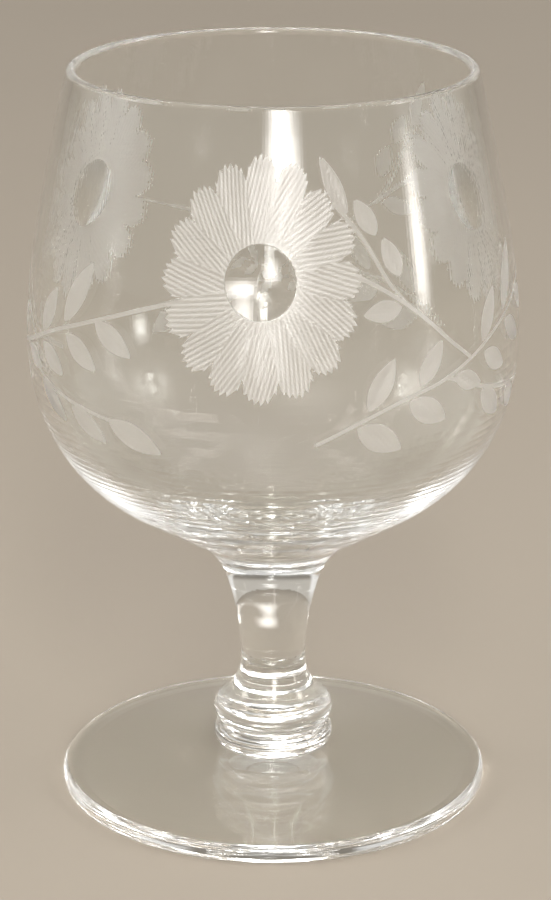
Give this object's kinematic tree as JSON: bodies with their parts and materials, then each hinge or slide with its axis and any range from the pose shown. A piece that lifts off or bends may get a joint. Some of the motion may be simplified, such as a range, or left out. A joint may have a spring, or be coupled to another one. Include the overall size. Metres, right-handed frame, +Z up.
{
  "type": "cognac glass",
  "caption": "Clear balloon-shaped cognac glass with wheel-engraved daisies and leaf sprays, on a short waisted stem, a ringed collar and a disc foot.",
  "frame": {"origin": "middle of the foot's underside, on the table", "axes": "+Z up along the glass's axis, -Y towards the flower that faces the viewer"},
  "size_m": [0.0776, 0.0776, 0.1188],
  "materials": {
    "clear_glass": "fire-polished clear glass with a faint green tint, the flowers and leaves wheel-ground matt"
  },
  "bodies": {
    "root": {"bowl": "clear_glass", "stem": "clear_glass", "collar": "clear_glass", "foot": "clear_glass"}
  },
  "joints": []
}
